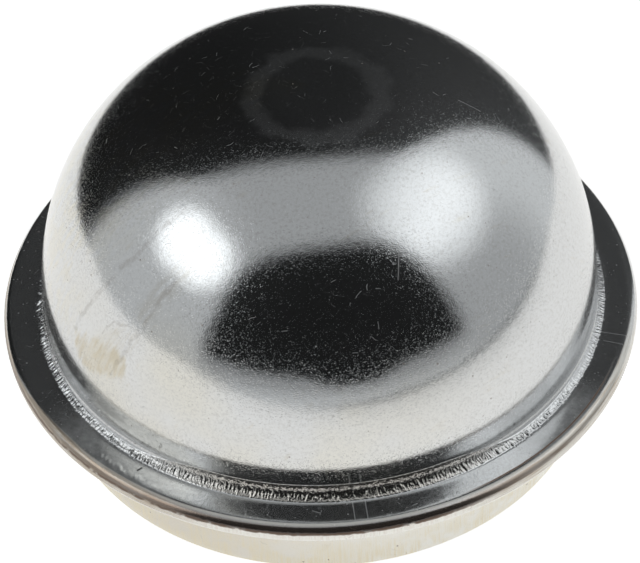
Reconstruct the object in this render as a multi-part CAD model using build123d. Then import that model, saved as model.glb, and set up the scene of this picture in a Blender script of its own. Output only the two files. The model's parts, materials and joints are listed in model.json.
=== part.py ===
from build123d import *
import os

# Hub grease cap: one disc of steel sheet, drawn into a dome, folded back on itself
# to make a double flange, and carried down as the skirt that presses into the hub.
# Millimetres, +Z to the crown, origin at the centre of the skirt's end.

# Sheet
sheet = 1.1
fold_gap = 0.2
cut_edge_radius = 0.2

# Outside diameters
flange_diameter = 70.0
dome_diameter = 60.6
skirt_diameter = 60.0
crown_land_diameter = 8.0

# Heights
skirt_length = 9.5
dome_height = 29.4

# Inner bends, measured on the sheet's outer face
foot_radius = 1.5
neck_radius = 0.8

# Worked out from the sizes above
dome_radius = dome_diameter / 2
skirt_radius = skirt_diameter / 2
crown_land_radius = crown_land_diameter / 2
shoulder_radius = dome_radius - crown_land_radius
fold_radius = sheet + fold_gap / 2
fold_centre_radius = flange_diameter / 2 - fold_radius
flange_underside = skirt_length
flange_top = flange_underside + 2 * fold_radius
crown_top = flange_top + dome_height


def sheet_face(depth):
    """One face of the sheet from the crown to the skirt's end, at a depth below the outer face.

    Every bend keeps its centre at any depth, so the two faces stay one sheet apart.
    """
    crown = Line((0, crown_top - depth), (crown_land_radius, crown_top - depth))
    shoulder = JernArc(crown @ 1, crown % 1, shoulder_radius - depth, -90)
    wall = Line(shoulder @ 1, (dome_radius - depth, flange_top + foot_radius))
    foot = JernArc(wall @ 1, wall % 1, foot_radius + depth, 90)
    upper_layer = Line(foot @ 1, (fold_centre_radius, flange_top - depth))
    fold = JernArc(upper_layer @ 1, upper_layer % 1, fold_radius - depth, -180)
    lower_layer = Line(fold @ 1, (skirt_radius + neck_radius, flange_underside + depth))
    neck = JernArc(lower_layer @ 1, lower_layer % 1, neck_radius + depth, 90)
    skirt = Line(neck @ 1, (skirt_radius - depth, 0))
    return [crown, shoulder, wall, foot, upper_layer, fold, lower_layer, neck, skirt]


def sheet_section():
    """Half of the cap's section: both faces, the line on the axis and the cut edge of the skirt."""
    outer = sheet_face(0)
    inner = sheet_face(sheet)
    axis_line = Line(inner[0] @ 0, outer[0] @ 0)
    cut_edge = Line(outer[-1] @ 1, inner[-1] @ 1)
    section = make_face([*outer, *inner, axis_line, cut_edge])
    skirt_corners = section.vertices().group_by(Axis.Y)[0]
    return fillet(skirt_corners, cut_edge_radius)


# The section is drawn flat, stood up in the XZ plane and turned about the cap's axis
grease_cap = revolve(Plane.XZ * sheet_section(), Axis.Z)
grease_cap.label = "grease_cap"

os.makedirs("parts", exist_ok=True)
export_step(grease_cap, "parts/grease_cap.step")
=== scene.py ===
import functools
import json
import math
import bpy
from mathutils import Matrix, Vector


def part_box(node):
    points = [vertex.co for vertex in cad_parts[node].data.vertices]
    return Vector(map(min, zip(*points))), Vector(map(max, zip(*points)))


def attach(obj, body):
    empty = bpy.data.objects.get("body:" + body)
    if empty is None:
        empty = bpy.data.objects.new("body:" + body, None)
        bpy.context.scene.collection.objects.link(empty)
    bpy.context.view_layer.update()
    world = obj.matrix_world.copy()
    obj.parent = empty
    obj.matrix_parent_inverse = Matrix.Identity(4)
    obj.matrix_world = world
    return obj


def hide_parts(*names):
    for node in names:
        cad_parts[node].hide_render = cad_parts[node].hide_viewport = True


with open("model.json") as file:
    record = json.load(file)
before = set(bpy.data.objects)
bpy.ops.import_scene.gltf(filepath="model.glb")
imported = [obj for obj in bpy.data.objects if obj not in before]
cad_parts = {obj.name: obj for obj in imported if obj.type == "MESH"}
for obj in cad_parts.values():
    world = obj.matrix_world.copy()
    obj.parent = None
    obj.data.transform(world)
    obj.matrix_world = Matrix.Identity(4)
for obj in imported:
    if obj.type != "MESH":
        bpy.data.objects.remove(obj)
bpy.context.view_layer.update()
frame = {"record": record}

from types import SimpleNamespace

import bpy
import numpy as np
from mathutils import Matrix, Vector

mm = 0.001
micron = 1e-6

# Sizes read from the frame
low_corner, high_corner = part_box("grease_cap")
mounts = {mount["name"]: mount for mount in frame["record"]["mounts"]}
rim_radius = min(high_corner.x, high_corner.y, -low_corner.x, -low_corner.y)
crown_top = high_corner.z
skirt_radius = mounts["hub_fit"]["dims"]["r_mm"] * mm
flange_underside = mounts["hub_seat"]["pos_m"][2]

# Sizes of the sheet and its bends
sheet = 1.1 * mm
fold_gap = 0.2 * mm
cut_edge_radius = 0.2 * mm
dome_radius = 30.3 * mm
crown_land_radius = 4.0 * mm
foot_radius = 1.5 * mm
neck_radius = 0.8 * mm

# Worked out from the sizes above
shoulder_radius = dome_radius - crown_land_radius
shoulder_height = crown_top - shoulder_radius
fold_radius = sheet + fold_gap / 2
fold_centre_radius = rim_radius - fold_radius
fold_height = flange_underside + fold_radius
flange_top = flange_underside + 2 * fold_radius

# Centres of the bends: radius and height
shoulder_centre = (crown_land_radius, shoulder_height)
foot_centre = (dome_radius + foot_radius, flange_top + foot_radius)
fold_centre = (fold_centre_radius, fold_height)
neck_centre = (skirt_radius + neck_radius, flange_underside - neck_radius)

# Steps of the mesh round the axis
plain_steps = 240
chatter_steps = 2880
ripple_steps = 1440
inside_steps = 120

# Stretches with tool marks: above and round the foot's bend, in degrees, and radii on the flange
chatter_above = 0.12 * mm
chatter_end = 82
ripple_stretch = (32.4 * mm, fold_centre_radius)

# Place and lens of the camera
camera_distance = 0.299292
camera_elevation = math.radians(45.043)
camera_roll = math.radians(-2.169)
camera_aim = Vector((0.0463 * mm, 0, 12.7617 * mm))
camera_pivot = Vector((0, 0, fold_height))
camera_lens = 151.875
camera_sensor = 36.0


# Section of the sheet

def straight(start, end, rows):
    """Stations along a straight stretch of the section, after its start."""
    share = np.linspace(0, 1, rows + 1)[1:, None]
    return np.array(start) + share * (np.array(end) - np.array(start))


def bend(centre, radius, first, last, rows):
    """Stations round a bend of the section, after its first angle, in degrees."""
    angle = np.radians(np.linspace(first, last, rows + 1)[1:])
    return np.array(centre) + radius * np.column_stack([np.cos(angle), np.sin(angle)])


def outside_section():
    """Stretches of the outer face from the crown to the skirt's end: stations and steps round the axis."""
    edge_centre = (skirt_radius - cut_edge_radius, cut_edge_radius)
    wall_end = (dome_radius, foot_centre[1] + chatter_above)
    ripples_start = (ripple_stretch[0], flange_top)
    under_start = (fold_centre_radius, flange_underside)
    under_end = (neck_centre[0], flange_underside)
    return [
        (straight((0, crown_top), (crown_land_radius, crown_top), 4), plain_steps),
        (bend(shoulder_centre, shoulder_radius, 90, 0, 44), plain_steps),
        (straight((dome_radius, shoulder_height), wall_end, 2), plain_steps),
        (straight(wall_end, (dome_radius, foot_centre[1]), 1), chatter_steps),
        (bend(foot_centre, foot_radius, 180, 180 + chatter_end, 15), chatter_steps),
        (bend(foot_centre, foot_radius, 180 + chatter_end, 270, 1), plain_steps),
        (straight((foot_centre[0], flange_top), ripples_start, 2), plain_steps),
        (straight(ripples_start, (ripple_stretch[1], flange_top), 8), ripple_steps),
        (bend(fold_centre, fold_radius, 90, -90, 18), plain_steps),
        (straight(under_start, under_end, 3), plain_steps),
        (bend(neck_centre, neck_radius, 90, 180, 6), plain_steps),
        (straight((skirt_radius, neck_centre[1]), (skirt_radius, cut_edge_radius), 8), plain_steps),
        (bend(edge_centre, cut_edge_radius, 0, -90, 3), plain_steps),
    ]


def inside_section():
    """Stretches of the inner face from the skirt's end back to the crown, through the slit of the fold."""
    inner_skirt = skirt_radius - sheet
    inner_wall = dome_radius - sheet
    slit_radius = fold_radius - sheet
    slit_low = fold_height - slit_radius
    slit_high = fold_height + slit_radius
    edge_centre = (inner_skirt + cut_edge_radius, cut_edge_radius)
    return [
        (straight((skirt_radius - cut_edge_radius, 0), (edge_centre[0], 0), 1), plain_steps),
        (bend(edge_centre, cut_edge_radius, -90, -180, 3), inside_steps),
        (straight((inner_skirt, cut_edge_radius), (inner_skirt, neck_centre[1]), 4), inside_steps),
        (bend(neck_centre, neck_radius + sheet, 180, 90, 8), inside_steps),
        (straight((neck_centre[0], slit_low), (fold_centre_radius, slit_low), 3), inside_steps),
        (bend(fold_centre, slit_radius, -90, 90, 6), inside_steps),
        (straight((fold_centre_radius, slit_high), (foot_centre[0], slit_high), 3), inside_steps),
        (bend(foot_centre, foot_radius + sheet, 270, 180, 8), inside_steps),
        (straight((inner_wall, foot_centre[1]), (inner_wall, shoulder_height), 2), inside_steps),
        (bend(shoulder_centre, shoulder_radius - sheet, 0, 90, 32), inside_steps),
        (straight((crown_land_radius, crown_top - sheet), (0, crown_top - sheet), 4)[:-1], inside_steps),
    ]


# Marks of the forming tool

class ToolMarks:
    """Short raised marks in a row round the axis, each with a place, size and slant of its own."""

    height_spread = 0.45
    slant_spread = 0.25
    middle_spread = 0.10 * mm

    def __init__(self, seed, girth, pitch, height, width, length, slant, middle):
        draw = np.random.default_rng(seed)
        count = int(girth / np.mean(pitch))
        gaps = draw.uniform(*pitch, count)
        self.girth = girth
        self.place = np.cumsum(gaps) * girth / gaps.sum()
        self.height = height * draw.lognormal(0, self.height_spread, count)
        self.width = draw.uniform(*width, count)
        self.length = draw.uniform(*length, count)
        self.slant = draw.normal(slant, self.slant_spread, count)
        self.middle = draw.normal(middle, self.middle_spread, count)

    def relief(self, offset, turn):
        """Height of the marks at an offset along the section for each turn round the axis."""
        span = offset[:, None] - self.middle
        centre = self.place + self.slant * span
        strength = self.height * np.exp(-(span / self.length) ** 4)
        along = turn[:, None] / (2 * math.pi) * self.girth
        gap = (along - centre + self.girth / 2) % self.girth - self.girth / 2
        return (strength * np.exp(-(gap / self.width) ** 2)).sum(1)


chatter = ToolMarks(
    seed=11,
    girth=2 * math.pi * 30.9 * mm,
    pitch=(0.20 * mm, 0.50 * mm),
    height=0.060 * mm,
    width=(0.05 * mm, 0.10 * mm),
    length=(0.18 * mm, 0.40 * mm),
    slant=0.15,
    middle=0.10 * mm,
)
ripples = ToolMarks(
    seed=23,
    girth=2 * math.pi * 33.3 * mm,
    pitch=(0.34 * mm, 0.80 * mm),
    height=0.030 * mm,
    width=(0.10 * mm, 0.16 * mm),
    length=(0.20 * mm, 0.40 * mm),
    slant=0.65,
    middle=33.45 * mm,
)
peening = np.random.default_rng(5)
pit_depth = 0.010 * mm

# Angles from the front, in radians, over which the marks of the foot change
side_start = (0.40, 0.75)
wide_start = (1.0, 1.35)
faint_start = (0.9, 1.3)
back_start = (2.6, 2.0)

# The ripples' strongest place, as an angle from the front, and how far they reach from it
ripple_front = -0.85
ripple_reach = 0.3


def rise(value, low, high):
    """Rises smoothly from 0 at low to 1 at high; falls where low is the larger."""
    share = np.clip((value - low) / (high - low), 0, 1)
    return share * share * (3 - 2 * share)


def from_front(turn):
    """Angle from the front, positive to the right."""
    return (turn + math.pi / 2 + math.pi) % (2 * math.pi) - math.pi


def ripple_relief(radius, turn):
    """Ripples on the flange, faint all round and strong at one place left of the front."""
    inner, outer = ripple_stretch
    share = 0.2 + 0.8 * np.exp(-((from_front(turn) - ripple_front) / ripple_reach) ** 4)
    fade = rise(radius, inner, inner + 0.40 * mm) * rise(radius, outer, outer - 0.15 * mm)
    return ripples.relief(np.full(len(turn), radius), turn) * share * fade


def foot_relief(tilt, turn):
    """Chatter and pits on the foot's bend: wide in front, low at the sides and faint on the right."""
    front = from_front(turn)
    degrees = math.degrees(tilt)
    wide_left = rise(-front, *wide_start) * rise(-front, *back_start)
    faint_right = rise(front, *faint_start) * rise(front, *back_start)
    narrow = rise(np.abs(front), *side_start) - 0.7 * wide_left
    upper_edge = 50 * narrow
    offset = foot_radius * (tilt - math.pi / 4) - 0.36 * mm * narrow
    marks = chatter.relief(offset, turn) * (1 + 0.5 * narrow)
    marks = marks * rise(degrees, upper_edge, upper_edge + 10) * rise(degrees, 80, 70)
    pits = peening.normal(0, pit_depth, len(turn)) * (1 + narrow)
    pits = pits * rise(degrees, upper_edge - 5, upper_edge) * rise(degrees, 76, 66)
    return (marks + pits) * (1 - 0.5 * faint_right)


def tool_relief(station, turn):
    """Height of the tool's marks at a station, and the way out of the sheet there."""
    radius, height = station
    if radius > foot_centre[0]:
        return ripple_relief(radius, turn), (0.0, 1.0)
    tilt = math.atan2(foot_centre[1] - height, foot_centre[0] - radius)
    return foot_relief(tilt, turn), (math.cos(tilt), math.sin(tilt))


# Mesh of the cap

def ring(station, steps):
    """Corners of one ring round the axis, raised by the tool's marks where it carries them."""
    turn = np.arange(steps) * 2 * math.pi / steps
    radius = np.full(steps, station[0])
    height = np.full(steps, station[1])
    if steps in (chatter_steps, ripple_steps):
        relief, way = tool_relief(station, turn)
        radius = radius + relief * way[0]
        height = height + relief * way[1]
    return np.column_stack([radius * np.cos(turn), radius * np.sin(turn), height])


def band(first, first_steps, second, second_steps):
    """Faces between two rings, by their first corners; a finer ring meets a coarser in many-sided faces."""
    faces = []
    coarse = min(first_steps, second_steps)
    first_share = first_steps // coarse
    second_share = second_steps // coarse
    for step in range(coarse):
        upper = [first + (step * first_share + k) % first_steps for k in range(first_share + 1)]
        lower = [second + (step * second_share + k) % second_steps for k in range(second_share + 1)]
        faces.append(lower + upper[::-1])
    return faces


def cap_mesh():
    """One closed mesh of the whole cap, with both faces of the sheet."""
    corners = [np.array([[0, 0, crown_top]])]
    faces = []
    finishes = []
    total = 1
    previous = None
    for finish, section in enumerate([outside_section(), inside_section()]):
        for stations, steps in section:
            for station in stations:
                corners.append(ring(station, steps))
                if previous is None:
                    new = [[0, total + k, total + (k + 1) % steps] for k in range(steps)]
                else:
                    new = band(previous[0], previous[1], total, steps)
                faces += new
                finishes += [finish] * len(new)
                previous = (total, steps)
                total += steps
    corners.append(np.array([[0, 0, crown_top - sheet]]))
    first, steps = previous
    new = [[first + (k + 1) % steps, first + k, total] for k in range(steps)]
    faces += new
    finishes += [1] * len(new)
    mesh = bpy.data.meshes.new("grease_cap_sheet")
    mesh.from_pydata(np.vstack(corners).tolist(), [], faces)
    mesh.polygons.foreach_set("use_smooth", [True] * len(faces))
    mesh.polygons.foreach_set("material_index", finishes)
    mesh.update()
    return mesh


# Shader arithmetic

class Feed:
    """An output socket of a node tree, or the bare tree. Arithmetic on it adds Math nodes."""

    def __init__(self, tree, socket=None):
        self.tree = tree
        self.socket = socket

    def add(self, kind, settings=None, sockets=None, out=0):
        """Any node: its settings come first, then a value or a link for each socket named."""
        node = self.tree.nodes.new("ShaderNode" + kind)
        for name, value in (settings or {}).items():
            setattr(node, name, value)
        for name, value in (sockets or {}).items():
            if isinstance(value, Feed):
                self.tree.links.new(value.socket, node.inputs[name])
            else:
                node.inputs[name].default_value = value
        return Feed(self.tree, node.outputs[out] if len(node.outputs) else None)

    def math(self, operation, first, second=0.0):
        return self.add("Math", {"operation": operation}, {0: first, 1: second})

    def __add__(self, other):
        return self.math("ADD", self, other)

    def __radd__(self, other):
        return self.math("ADD", other, self)

    def __sub__(self, other):
        return self.math("SUBTRACT", self, other)

    def __rsub__(self, other):
        return self.math("SUBTRACT", other, self)

    def __mul__(self, other):
        return self.math("MULTIPLY", self, other)

    def __rmul__(self, other):
        return self.math("MULTIPLY", other, self)

    def __truediv__(self, other):
        return self.math("DIVIDE", self, other)

    def __rtruediv__(self, other):
        return self.math("DIVIDE", other, self)

    def __pow__(self, other):
        return self.math("POWER", self, other)

    def size(self):
        return self.math("ABSOLUTE", self)

    def least(self, other):
        return self.math("MINIMUM", self, other)

    def most(self, other):
        return self.math("MAXIMUM", self, other)

    def ease(self, low, high):
        """Rises smoothly from 0 at low to 1 at high; falls where low is the larger."""
        flip = low > high
        start, end = (high, low) if flip else (low, high)
        sockets = {"Value": self, "From Min": start, "From Max": end}
        sockets.update({"To Min": 1.0 if flip else 0.0, "To Max": 0.0 if flip else 1.0})
        return self.add("MapRange", {"interpolation_type": "SMOOTHSTEP"}, sockets)

    def near(self, middle, reach):
        """1 within a quarter of the reach of a value, falling smoothly to 0 at the whole reach."""
        return (self - middle).size().ease(reach, 0.25 * reach)

    def vector(self, operation, first, second=None, out=0):
        sockets = {0: first}
        if operation == "SCALE":
            sockets["Scale"] = second
        elif second is not None:
            sockets[1] = second
        return self.add("VectorMath", {"operation": operation}, sockets, out)

    def dot(self, first, second):
        return self.vector("DOT_PRODUCT", first, second, "Value")

    def parts(self):
        split = self.add("SeparateXYZ", None, {0: self})
        return [Feed(self.tree, split.socket.node.outputs[k]) for k in range(3)]

    def blend(self, share, first, second):
        """A colour between two colours."""
        settings = {"data_type": "RGBA"}
        return self.add("Mix", settings, {"Factor": share, 6: first, 7: second}, 2)

    def noise(self, place, scale, detail, roughness, out="Fac"):
        sockets = {"Vector": place, "Scale": scale, "Detail": detail, "Roughness": roughness}
        return self.add("TexNoise", None, sockets, out)

    def bump(self, relief):
        """The way out of a surface with a relief given in thousandths of a millimetre."""
        return self.add("Bump", None, {"Strength": 1.0, "Distance": micron, "Height": relief})


def new_tree(name):
    """A material with an empty node tree, as a bare feed."""
    material = bpy.data.materials.new(name)
    material.use_nodes = True
    material.node_tree.nodes.clear()
    return material, Feed(material.node_tree)


# Colours

white = (1, 1, 1, 1)
zinc = (0.655, 0.662, 0.666, 1)
zinc_cream = (0.665, 0.645, 0.58, 1)
zinc_dull = (0.50, 0.495, 0.48, 1)
skirt_left = (0.62, 0.585, 0.52, 1)
skirt_right = (0.715, 0.705, 0.665, 1)
skirt_yellow = (0.66, 0.60, 0.45, 1)
stain_tan = (0.50, 0.43, 0.29, 1)
stain_line = (0.27, 0.225, 0.18, 1)
smear_grey = (0.50, 0.475, 0.42, 1)
speck_brown = (0.30, 0.235, 0.18, 1)
rim_blush = (0.64, 0.595, 0.55, 1)
rim_tan = (0.54, 0.46, 0.37, 1)
rim_cream = (0.80, 0.77, 0.71, 1)
rim_brown = (0.24, 0.15, 0.10, 1)
foot_brown = (0.44, 0.40, 0.345, 1)
dirt_black = (0.03, 0.03, 0.03, 1)
paper_fibres = ((0.78, 0.78, 0.77, 1), (0.82, 0.82, 0.82, 1))
paper_near = (1.0, 0.99, 0.965, 1)
# Painted shade: the paper's glow near its front edge, as the metal sees it.
paper_front_shade = (0.62, 0.6138, 0.5983, 1)
# Painted shadow: near-black tones of the table strip beside the paper's edge.
painted_shadow_tones = ((0.02, 0.02, 0.02, 1), (0.05, 0.05, 0.05, 1))
studio_cool = (0.955, 0.985, 1.0, 1)


# Places of the finish, in millimetres

flange_level = flange_top / mm
skirt_level = flange_underside / mm
fold_level = fold_height / mm
fold_ring = fold_centre_radius / mm
foot_level = foot_centre[1] / mm
foot_ring = foot_centre[0] / mm

# Heights between which the low dome passes into its upper part
low_dome = (22.0, 30.0)

# The foot's texture: the radius at which its turn is measured, and its marks to a millimetre
foot_texture_radius = 31
foot_texture_scale = 3.4

# Old run marks on the left of the dome
first_run = [(-25.7, -14.4, 21.6), (-22.2, -15.1, 27.9), (-18.8, -15.1, 32.0), (-13.2, -13.3, 36.8)]
second_run = [(-21.9, -20.2, 20.3), (-18.0, -20.3, 27.6), (-14.2, -18.9, 32.4)]
short_run = [(-22.5, -17.8, 24.2), (-21.0, -18.3, 26.1), (-19.7, -19.2, 26.8)]
tan_run = [(-17.6, -19.6, 28.6), (-13.6, -18.4, 33.2)]
tan_patch = [(-24.4, -16.6, 20.4), (-21.4, -19.9, 21.8)]
grey_smear = [(-22.4, -18.6, 22.9), (-19.6, -19.9, 25.4)]
cream_patch = (-15.3, -23.0, 26.6)

# Directions along the runs and across them
down_runs = (0.47, -0.01, 0.88)
across_runs = (0.53, -0.79, -0.29)

# Single scratches that stand out
single_scratches = [
    ((8.0, -18.9, 35.5), (7.8, -21.2, 33.6)),
    ((15.1, -0.5, 38.9), (17.3, -1.0, 37.7)),
    ((-1.6, -32.3, 11.9), (-0.9, -32.6, 11.9)),
    ((30.2, -8.5, 11.9), (32.9, -9.2, 11.9)),
    ((30.4, -9.8, 11.9), (32.4, -10.5, 11.9)),
    ((2.5, -31.3, 11.95), (2.7, -33.6, 11.9)),
    ((3.8, -31.2, 11.95), (4.0, -33.5, 11.9)),
]

# A chip in the rim, and the faint ring round the crown's middle
rim_chip = [(-19.6, -25.9, 11.9), (-19.2, -25.6, 11.9)]
crown_ring_centre = (0.4, -1.4, 41.2)
crown_ring_radius = 6.6
crown_ring_reach = 1.6


# Marks on a surface

def flattened(tree, offset, way_out):
    """An offset without its part along the way out of the surface."""
    return tree.vector("SUBTRACT", offset, tree.vector("SCALE", way_out, tree.dot(offset, way_out)))


def strokes(tree, place, way_out, spacing, length, width, seed, share, spread):
    """Short scratches in the surface, at most one to a cell, each with its own heading and depth."""
    moved = tree.vector("ADD", place, (seed, seed * 1.7, seed * 0.6))
    cells = tree.add("TexVoronoi", None, {"Vector": moved, "Scale": 1 / spacing}, "Position")
    colour = Feed(tree.tree, cells.socket.node.outputs["Color"])
    flat = flattened(tree, tree.vector("SUBTRACT", moved, cells), way_out)
    chance = tree.vector("SUBTRACT", colour, (0.5, 0.5, 0.5))
    heading = tree.vector("NORMALIZE", flattened(tree, chance, way_out))
    along = tree.dot(flat, heading)
    side = tree.vector("SUBTRACT", flat, tree.vector("SCALE", heading, along))
    across = tree.vector("LENGTH", side, None, "Value")
    first, second = colour.parts()[:2]
    luck = tree.math("FRACT", first * 7.13)
    depth = tree.math("FRACT", second * 5.37)
    reach = (0.3 + luck * 0.7) * length
    present = luck.ease(1 - share - 0.02, 1 - share + 0.02)
    stroke = across.ease(width, 0.0) * (along.size() / reach).ease(1.0, 0.5)
    return stroke * present * (0.1 + depth ** spread)


def line_between(tree, place, way_out, start, end, width):
    """1 along a straight line between two points of the surface, fading over its width."""
    run = Vector(end) - Vector(start)
    offset = tree.vector("SUBTRACT", place, start)
    share = tree.dot(offset, tuple(run / run.length_squared)).most(0.0).least(1.0)
    gap = tree.vector("SUBTRACT", offset, tree.vector("SCALE", tuple(run), share))
    flat = flattened(tree, gap, way_out)
    return tree.vector("LENGTH", flat, None, "Value").ease(width, 0.3 * width)


def lines(tree, place, way_out, pairs, width):
    """Several straight lines, each between a pair of points of the surface."""
    marks = [line_between(tree, place, way_out, start, end, width) for start, end in pairs]
    return functools.reduce(Feed.most, marks)


def run_mark(tree, place, way_out, points, width):
    """A line through several points of the surface."""
    return lines(tree, place, way_out, zip(points, points[1:]), width)


def dots(tree, place, spacing, size, seed, share):
    """Small round specks, at most one to a cell."""
    moved = tree.vector("ADD", place, (seed, seed * 0.4, seed * 1.3))
    cells = tree.add("TexVoronoi", None, {"Vector": moved, "Scale": 1 / spacing}, "Distance")
    colour = Feed(tree.tree, cells.socket.node.outputs["Color"]).parts()
    reach = (0.4 + colour[1] * 0.6) * (size / spacing)
    return (cells / reach).ease(1.0, 0.5) * colour[0].ease(1 - share - 0.01, 1 - share + 0.01)


def wandering(tree, place, scale, amount):
    """The place, shifted a little to and fro, so that straight lines come out hand-drawn."""
    drift = tree.vector("SUBTRACT", tree.noise(place, scale, 1.0, 0.5, "Color"), (0.5, 0.5, 0.5))
    return tree.vector("ADD", place, tree.vector("SCALE", drift, amount))


# Finish of the outer face

def cap_zones(tree):
    """Places on the outer face, in millimetres and in radians from the front, and masks of its zones."""
    at = SimpleNamespace()
    at.place = tree.vector("SCALE", tree.add("TexCoord", None, None, "Object"), 1 / mm)
    at.way_out = tree.add("NewGeometry", None, None, "Normal")
    at.x, y, at.height = at.place.parts()
    at.radius = (at.x * at.x + y * y) ** 0.5
    at.azimuth = tree.math("ARCTAN2", at.x, y * -1)
    at.roll_tilt = tree.math("ARCTAN2", at.height - fold_level, at.radius - fold_ring)
    at.foot_tilt = tree.math("ARCTAN2", foot_level - at.height, foot_ring - at.radius)

    at.on_dome = at.height.ease(flange_level + 0.7, flange_level + 2.1)
    at.on_roll = at.radius.ease(fold_ring - 0.1, fold_ring + 0.1)
    at.on_skirt = at.height.ease(skirt_level + 0.1, skirt_level - 0.2)
    at.on_flange = at.height.ease(flange_level - 0.15, flange_level - 0.05)
    at.on_flange = at.on_flange * at.height.ease(flange_level + 0.2, flange_level + 0.05)

    on_bend = at.height.ease(foot_level + 0.3, foot_level)
    on_bend = on_bend * at.height.ease(flange_level - 0.3, flange_level)
    to_left = at.azimuth * -1
    wide_left = to_left.ease(*wide_start) * to_left.ease(*back_start)
    foot_edge = at.azimuth.size().ease(*side_start) * 0.80 - wide_left * 0.5
    at.on_foot = (at.foot_tilt - foot_edge).ease(-0.10, 0.0) * at.foot_tilt.ease(1.30, 1.15) * on_bend
    at.plain_bend = on_bend * (1 - at.on_foot) * at.foot_tilt.ease(1.30, 1.0)
    return at


def zinc_noises(tree, place):
    """Noises of the zinc, from fine grain to broad clouds, and streaks down the skirt."""
    noises = SimpleNamespace()
    noises.grain = tree.noise(place, 8.5, 1.0, 0.5)
    noises.mottle = tree.noise(place, 3.2, 2.0, 0.7)
    noises.peel = tree.noise(place, 1.3, 1.0, 0.5)
    noises.patches = tree.noise(place, 0.35, 2.0, 0.6)
    noises.clouds = tree.noise(place, 0.09, 2.0, 0.55)
    noises.streaks = tree.noise(tree.vector("MULTIPLY", place, (5.0, 5.0, 0.25)), 1.0, 2.0, 0.6)
    return noises


def small_marks(tree, at, noises):
    """Hairlines in patches, nicks, single scratches, specks, dust and the ring on the crown."""
    marks = SimpleNamespace()
    curly = wandering(tree, at.place, 0.9, 0.6)
    hairlines = strokes(
        tree, curly, at.way_out, spacing=0.9, length=0.6, width=0.05, seed=8.4, share=0.5, spread=4.0)
    hairlines = hairlines * (0.35 + at.height.ease(*low_dome) * 0.65)
    marks.hairlines = hairlines * (0.15 + noises.patches.ease(0.45, 0.62) * 0.85)
    marks.nicks = strokes(
        tree, curly, at.way_out, spacing=0.19, length=0.13, width=0.045, seed=5.2, share=0.8, spread=1.5)
    marks.singles = lines(tree, at.place, at.way_out, single_scratches, 0.08)
    marks.specks = dots(tree, at.place, spacing=0.90, size=0.15, seed=2.7, share=0.22)
    marks.specks = marks.specks * (noises.clouds + noises.patches).ease(0.85, 1.1)
    marks.dust = dots(tree, at.place, spacing=0.45, size=0.11, seed=7.9, share=0.35)
    from_middle = tree.vector("DISTANCE", at.place, crown_ring_centre, "Value")
    crown_ring = (from_middle + (noises.patches - 0.5) * 3.0).near(crown_ring_radius, crown_ring_reach)
    marks.crown_ring = crown_ring * at.height.ease(39.5, 40.5)
    return marks


def old_stains(tree, at, noises):
    """Old stains on the left of the dome: run marks, a tan patch, grey smears and a cream patch."""
    stains = SimpleNamespace()
    loose = wandering(tree, at.place, 0.5, 1.2)
    across = tree.dot(at.place, across_runs)
    down = tree.dot(at.place, down_runs)
    run_place = tree.add("CombineXYZ", None, {0: across * 1.8, 1: down * 0.35, 2: at.height * 0.1})
    stains.along_runs = tree.noise(run_place, 1.0, 2.0, 0.6)

    runs = run_mark(tree, loose, at.way_out, first_run, 0.42)
    runs = runs.most(run_mark(tree, loose, at.way_out, second_run, 0.36))
    runs = runs.most(run_mark(tree, loose, at.way_out, short_run, 0.22) * 0.7)
    stains.runs = runs * (noises.patches + noises.peel).ease(0.65, 1.25)

    tan = line_between(tree, loose, at.way_out, *tan_patch, 3.2)
    tan = tan + (noises.patches + stains.along_runs - 1.0) * 1.3
    stains.tan = tan.ease(0.2, 1.1) * (0.55 + stains.along_runs.ease(0.35, 0.65) * 0.45)

    smear = line_between(tree, loose, at.way_out, *grey_smear, 2.0)
    smear = smear.most(line_between(tree, loose, at.way_out, *tan_run, 1.7))
    stains.smear = smear * stains.along_runs.ease(0.3, 0.6)
    stains.cream = tree.vector("DISTANCE", loose, cream_patch, "Value").ease(6.0, 1.0)
    return stains


def rim_wear_and_painted_light(tree, at, noises):
    """Wear on the rim's roll: a brown edge, worn sides, a crease and a chip; and in front, a painted
    highlight along its top as a pale matte line, and painted shade on its side as a dull dark brown band.
    """
    rim = SimpleNamespace()
    azimuth = at.azimuth
    tilt = at.roll_tilt
    rim.low = tilt.ease(0.46, 0.36) * at.on_roll
    rim.lines = tree.noise(tree.add("CombineXYZ", None, {0: azimuth * 7, 1: tilt * 5}), 1.0, 2.0, 0.6)

    brown = (tilt + (noises.peel - 0.5) * 0.25).near(0.40, 0.20) * at.on_roll
    brown = brown * (noises.patches + noises.peel).ease(0.65, 1.0)
    rim.brown = brown * azimuth.ease(0.6, 0.3) * azimuth.ease(-2.6, -2.0)

    left = azimuth.ease(-0.3, -0.6) * azimuth.ease(-2.2, -1.7)
    left = left * (1.35 - azimuth.ease(-0.9, -1.3) * 0.6 - tilt).ease(-0.1, 0.1)
    right = azimuth.ease(0.35, 0.6) * azimuth.ease(1.5, 1.1) * tilt.ease(1.35, 1.2)
    rim.worn = (left + right) * at.on_roll * at.height.ease(fold_level - 0.7, fold_level - 0.1)

    # Painted highlight: a pale cream matte line along the roll's top in front.
    rim.pale_line = tilt.near(1.25, 0.20) * azimuth.near(0.0, 1.0) * at.on_roll
    # Painted shade: a dark brown band on the roll's side in front, where it mirrors the dark, with a thin
    # matte film.
    rim.dull = tilt.near(0.72, 0.50) * azimuth.near(0.0, 1.3) * at.on_roll

    crease = (at.radius + (noises.patches - 0.5) * 0.12).near(fold_ring - 0.02, 0.14)
    crease = crease * at.height.ease(flange_level - 0.2, flange_level - 0.1)
    rim.crease = crease * azimuth.ease(0.4, 0.55) * azimuth.ease(1.25, 1.0)
    rim.chip = line_between(tree, at.place, at.way_out, *rim_chip, 0.16)
    return rim


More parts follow.
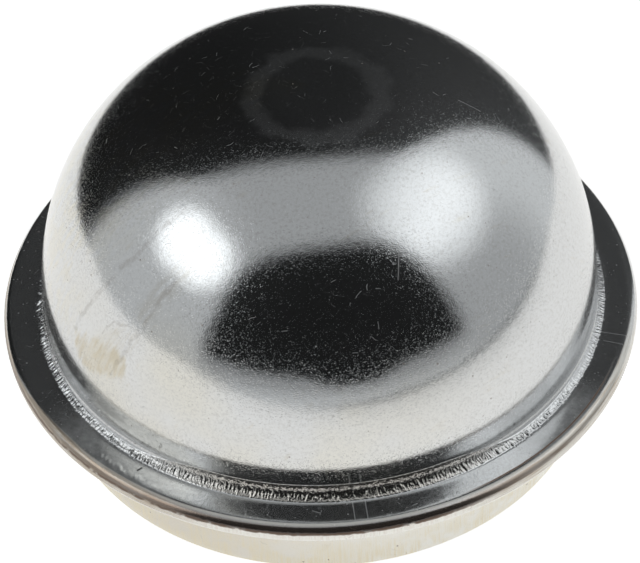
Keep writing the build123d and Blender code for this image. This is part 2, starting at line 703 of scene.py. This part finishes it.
def skirt_colour(tree, at, noises):
    """The skirt: greyer on the left, yellowed in streaks towards its cut edge."""
    tone = tree.blend((at.x / at.radius).ease(-0.68, 0.39), skirt_left, skirt_right)
    yellow = at.height.ease(6.5, 0.5) * (0.25 + 0.75 * noises.streaks.ease(0.3, 0.75))
    yellow = yellow * noises.patches.ease(0.3, 0.55)
    return tree.blend(yellow * 0.9, tone, skirt_yellow)


def outside_colour(tree, at, noises, marks, stains, rim):
    """Zinc, and over it each tone in turn with its share."""
    warm = noises.clouds.ease(0.38, 0.62) * at.azimuth.ease(0.9, -0.2) * at.azimuth.ease(-2.9, -1.9)
    warm = warm * at.height.ease(*reversed(low_dome)) * 0.7
    old_left = at.azimuth.near(-1.5, 0.7) * at.height.ease(16.0, 22.0)
    old_left = old_left * (noises.patches + stains.along_runs).ease(0.75, 1.2) * 0.8
    low_rim = tree.blend(noises.streaks.ease(0.35, 0.7) * 0.7, skirt_right, rim_blush)
    worn_rim = tree.blend((rim.lines + at.azimuth * 0.08).ease(0.38, 0.62), rim_tan, rim_cream)
    tones = [
        ((warm * at.on_dome + stains.cream * 0.3).most(old_left), zinc_cream),
        (noises.mottle.ease(0.42, 0.78) * 0.6, zinc_dull),
        (at.on_foot * at.azimuth.near(0.0, 0.9) * 0.65, foot_brown),
        (at.on_skirt, skirt_colour(tree, at, noises)),
        (stains.smear * 0.4, smear_grey),
        (stains.tan * 0.6, stain_tan),
        (stains.runs * 0.2, stain_line),
        (marks.specks * 0.6, speck_brown),
        (rim.low, low_rim),
        (rim.worn, worn_rim),
        # Painted highlight on the roll's top in front.
        (rim.pale_line * 0.8, rim_cream),
        # The brown edge and the crease, and the band of painted shade in front, all in dark brown.
        (rim.brown.most(rim.dull * 0.8).most(rim.crease), rim_brown),
        (rim.chip, dirt_black),
    ]
    colour = zinc
    for share, tone in tones:
        colour = tree.blend(share, colour, tone)
    return colour


def outside_roughness(at, noises, marks, stains, rim):
    """Bright all over, duller on the skirt, the plain part of the foot's bend, stains and wear."""
    roughness = 0.05 + noises.clouds * 0.02 + marks.crown_ring * 0.10 + stains.tan * 0.1
    roughness = roughness + at.on_roll * 0.03 + (rim.brown + rim.crease) * 0.2
    return roughness + at.on_skirt * 0.12 + at.plain_bend * 0.16


def flange_film(at, noises, marks):
    """Film on the flange's top: thin in front, more at the sides, rubbed in two places."""
    rubbed_left = at.azimuth.ease(-1.08, -0.85) * at.azimuth.ease(-0.42, -0.62)
    rubbed_right = at.azimuth.ease(1.12, 0.92) * at.azimuth.ease(0.6, 0.8)
    film = 0.04 + at.azimuth.size().ease(0.3, 1.0) * 0.07
    film = film + (rubbed_left + rubbed_right) * (0.14 + noises.peel * 0.45)
    return film + marks.nicks * 0.12 + marks.hairlines * 0.5 + marks.dust * 0.5


def outside_film(at, noises, marks, stains, rim):
    """Share of the metal hidden by a matte film of dust, dirt, scratches and worn zinc, and on the roll's
    painted highlight line and its band of painted shade.
    """
    film = at.on_flange * flange_film(at, noises, marks) + at.on_foot * 0.03
    film = film + marks.crown_ring * 0.08 * noises.grain + marks.dust * 0.06
    film = film + marks.singles * 0.4 + marks.hairlines * 0.7 + marks.specks * 0.5 + stains.runs * 0.15
    # Film on the roll's worn sides, and on its painted highlight line and its band of painted shade.
    film = film + rim.worn * (0.2 + rim.lines * 0.4) + rim.pale_line * 0.6 + rim.dull * 0.12
    film = film + (rim.brown + rim.crease + rim.chip) * 0.8
    return film.least(0.9)


def outside_relief(tree, at, noises, marks):
    """Grain, a slight peel and nicks all over, and the rubbed texture of the foot's bend."""
    along = at.azimuth * (foot_texture_radius * foot_texture_scale)
    rubbed = tree.add("CombineXYZ", None, {0: along, 1: at.foot_tilt * 3.2, 2: at.radius})
    foot_texture = tree.noise(rubbed, 1.0, 2.0, 0.6) * at.on_foot
    nick_depth = (7.5 - at.height.ease(26.0, 34.0) * 3.5) * (0.4 + at.on_dome * 0.6)
    relief = noises.grain * (3 + at.on_dome * 2) + noises.peel * 8
    return relief - marks.nicks * nick_depth + foot_texture * 90


def zinc_outside():
    """Bright zinc over drawn steel: a sharp gleam, a haze over it, marks, stains and wear, and painted
    light on the roll's front.
    """
    material, tree = new_tree("bright_zinc_outside")
    at = cap_zones(tree)
    noises = zinc_noises(tree, at.place)
    marks = small_marks(tree, at, noises)
    stains = old_stains(tree, at, noises)
    rim = rim_wear_and_painted_light(tree, at, noises)
    sockets = {
        "Base Color": outside_colour(tree, at, noises, marks, stains, rim),
        "Metallic": 1 - outside_film(at, noises, marks, stains, rim),
        "Roughness": outside_roughness(at, noises, marks, stains, rim),
        "Coat Weight": 0.45 + at.on_flange * 0.15,
        "Coat Roughness": 0.38,
        "Normal": tree.bump(outside_relief(tree, at, noises, marks)),
    }
    shader = tree.add("BsdfPrincipled", None, sockets)
    tree.add("OutputMaterial", None, {"Surface": shader})
    return material


# Finish of the inner face

def zinc_inside():
    """The same zinc, duller, with the drawing marks that run down the wall."""
    material, tree = new_tree("bright_zinc_inside")
    place = tree.vector("SCALE", tree.add("TexCoord", None, None, "Object"), 1 / mm)
    clouds = tree.noise(place, 0.12, 3.0, 0.55)
    grain = tree.noise(place, 4.0, 2.0, 0.6)
    drawing_marks = tree.noise(tree.vector("MULTIPLY", place, (2.2, 2.2, 0.12)), 1.0, 3.0, 0.6)
    sockets = {
        "Base Color": tree.blend(clouds.ease(0.35, 0.7), zinc_dull, zinc_cream),
        "Metallic": 1.0,
        "Roughness": 0.24 + clouds * 0.1 + drawing_marks * 0.08,
        "Normal": tree.bump(grain * 16 + drawing_marks * 30),
    }
    shader = tree.add("BsdfPrincipled", None, sockets)
    tree.add("OutputMaterial", None, {"Surface": shader})
    return material


# The cap

cap = bpy.data.objects.new("grease_cap_sheet", cap_mesh())
bpy.context.scene.collection.objects.link(cap)
cap.data.materials.append(zinc_outside())
cap.data.materials.append(zinc_inside())
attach(cap, "root")
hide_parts("grease_cap")


# Floor

paper_front = [(-0.60, -0.50), (-0.04, -0.172), (0.09, -0.155), (0.17, -0.113), (0.36, 0.02)]
paper_back = [(0.36, 0.117), (0.12, 0.098), (-0.10, 0.092), (-0.60, 0.155)]
table_edge = [(0.10, -0.190), (0.19, -0.146), (0.40, -0.015), (0.40, 0.117)]
paper_face = [0, 1, 2, 3, 4, 5, 6, 7, 8]
table_faces = [[1, 9, 2], [9, 10, 3, 2], [10, 11, 4, 3], [11, 12, 5, 4]]

# The slope of the paper's front edge, and where the paper's painted shade towards it begins and ends
paper_slope = 0.54
paper_dulling = (-0.19, -0.06)


def glowing(tree, colour, glow_colour, glow):
    """The end of a matte material that also glows."""
    matte = tree.add("BsdfDiffuse", None, {"Color": colour})
    light = tree.add("Emission", None, {"Color": glow_colour, "Strength": glow})
    both = tree.add("AddShader", None, {0: matte, 1: light})
    tree.add("OutputMaterial", None, {"Surface": both})


def ray(tree, name):
    """1 for rays of one kind."""
    return tree.add("LightPath", None, None, name)


def floor_paper():
    """Pale paper with a faint fibre: white to the camera, and in metal with painted shade towards its front
    edge.
    """
    material, tree = new_tree("studio_paper")
    place = tree.add("TexCoord", None, None, "Object")
    x, y = place.parts()[:2]
    fibre = tree.noise(place, 900.0, 3.0, 0.6)
    from_edge = (y - x * paper_slope).ease(*paper_dulling)
    camera_ray = ray(tree, "Is Camera Ray")
    seen = camera_ray.most(ray(tree, "Is Glossy Ray")).most(ray(tree, "Is Transmission Ray"))
    # Painted shade: the paper as the metal sees it darkens towards its front edge.
    mirrored = tree.blend(from_edge, paper_front_shade, paper_near)
    glow_colour = tree.blend(camera_ray, mirrored, white)
    glowing(tree, tree.blend(fibre, *paper_fibres), glow_colour, seen * (0.72 + camera_ray * 0.08))
    return material


def table_shade():
    """A strip of painted shadow, near black, where the table lies in the shade of the paper's front edge;
    white to the camera.
    """
    material, tree = new_tree("studio_table")
    place = tree.add("TexCoord", None, None, "Object")
    shadow_grain = tree.noise(tree.vector("MULTIPLY", place, (12.0, 90.0, 1.0)), 1.0, 3.0, 0.6)
    # Painted shadow: near-black matte tones for the strip by the paper's edge.
    glowing(tree, tree.blend(shadow_grain, *painted_shadow_tones), white, ray(tree, "Is Camera Ray"))
    return material


floor_corners = [(x, y, 0) for x, y in paper_front + paper_back + table_edge]
floor_mesh = bpy.data.meshes.new("studio_floor")
floor_mesh.from_pydata(floor_corners, [], [paper_face] + table_faces)
floor_mesh.polygons.foreach_set("material_index", [0] + [1] * len(table_faces))
floor = bpy.data.objects.new("studio_floor", floor_mesh)
bpy.context.scene.collection.objects.link(floor)
floor.data.materials.append(floor_paper())
floor.data.materials.append(table_shade())


# Studio light

# How soft the cloth's edges and the change from left to right are, and the rounded corner of its open front
edge_softness = 0.10
middle_softness = 0.02
corner_size = 0.25

# Least values that keep slopes and gaps finite
least_part = 0.02
least_gap = 0.001


def direction(azimuth, elevation):
    """A unit vector, by degrees from the camera's side towards the right, and above the floor."""
    turn = math.radians(azimuth)
    lift = math.radians(elevation)
    return (math.sin(turn) * math.cos(lift), -math.cos(turn) * math.cos(lift), math.sin(lift))


def spot(tree, way, azimuth, elevation, outer, inner):
    """A soft round patch of directions: 1 within the inner angle, 0 beyond the outer one, in degrees."""
    towards = tree.dot(way, direction(azimuth, elevation))
    return towards.ease(math.cos(math.radians(outer)), math.cos(math.radians(inner)))


def cloth_cover(x, y, up):
    """1 where white cloth hangs, overhead and on both sides, with a rounded corner to its open front."""
    across = x / up
    along = y / up
    depth = y / x.size().most(least_part)
    on_right = x.ease(-middle_softness, middle_softness)
    ceiling_front = across * 0.15 - 0.445
    ceiling_back = across * 0.10 + 0.34
    side_front = on_right * 0.29 - 0.93
    side_back = on_right * 0.49 + 0.41

    ceiling_gap = (corner_size + ceiling_front - along).most(least_gap)
    side_gap = (corner_size + side_front - depth).most(least_gap)
    front_gap = (ceiling_gap ** -2.0 + side_gap ** -2.0) ** -0.5
    front_open = front_gap.ease(corner_size - edge_softness, corner_size + edge_softness)
    ceiling = (ceiling_back - along).ease(-edge_softness, edge_softness)
    sides = (side_back - depth).ease(-edge_softness, edge_softness)
    return (1 - front_open) * (1 - (1 - ceiling) * (1 - sides))


def cloth_light(tree, way, x, up):
    """Light of the cloth: brighter at the sides, shaded low on the right, with a lamp behind each side."""
    side = (x.size() / (x.size() + up)).ease(0.25, 0.5)
    plain = 0.455 + side * (0.15 + x.ease(-0.1, 0.1) * 0.16)
    shade = spot(tree, way, 72, 6, 44, 14) * 0.38
    left_lamp = spot(tree, way, -68, 41, 17, 3).most(spot(tree, way, -80, 40, 17, 3)) * 1.3
    right_lamp = spot(tree, way, 88, 51, 30, 8) * 0.62
    return plain * (1 - shade) + left_lamp + right_lamp


def room_light(x, y, z):
    """Light of the dark room, a little paler behind on the right, and of the table in front."""
    low = z + x.near(0.2, 0.35) * 0.09
    table = (low.ease(0.135, 0.06) * 0.35 + z.ease(0.06, -0.17) * 0.36) * y.ease(0.1, -0.1)
    return 0.013 + x.ease(-0.3, 0.8) * y.ease(-0.1, 0.3) * 0.045 + table


def studio_world():
    """White cloth round the cap and a dark room beyond it; plain white to the camera."""
    world = bpy.data.worlds.new("studio")
    bpy.context.scene.world = world
    world.use_nodes = True
    world.node_tree.nodes.clear()
    tree = Feed(world.node_tree)
    way = tree.add("TexCoord", None, None, "Generated")
    x, y, z = way.parts()
    up = z.most(least_part)
    room = room_light(x, y, z)
    level = room + cloth_cover(x, y, up) * (cloth_light(tree, way, x, up) - room)
    camera_ray = ray(tree, "Is Camera Ray")
    level = level + camera_ray * (1.0 - level)
    colour = tree.blend(camera_ray, studio_cool, white)
    background = tree.add("Background", None, {"Color": colour, "Strength": level})
    tree.add("OutputWorld", None, {"Surface": background})


studio_world()


# Camera

def camera():
    """The camera at the photo's angle, with its small roll."""
    data = bpy.data.cameras.new("camera")
    data.lens = camera_lens
    data.sensor_width = camera_sensor
    data.sensor_fit = "HORIZONTAL"
    data.clip_start = 0.01
    data.clip_end = 10
    back = Vector((0, -math.cos(camera_elevation), math.sin(camera_elevation)))
    location = camera_pivot + back * camera_distance
    forward = (camera_aim - location).normalized()
    level_right = forward.cross(Vector((0, 0, 1))).normalized()
    level_up = level_right.cross(forward)
    right = level_right * math.cos(camera_roll) + level_up * math.sin(camera_roll)
    up = right.cross(forward)
    turn = Matrix((right, up, -forward)).transposed().to_4x4()
    eye = bpy.data.objects.new("camera", data)
    eye.matrix_world = Matrix.Translation(location) @ turn
    bpy.context.scene.collection.objects.link(eye)
    bpy.context.scene.camera = eye


camera()
bpy.context.scene.view_settings.view_transform = "Standard"

bpy.context.view_layer.update()
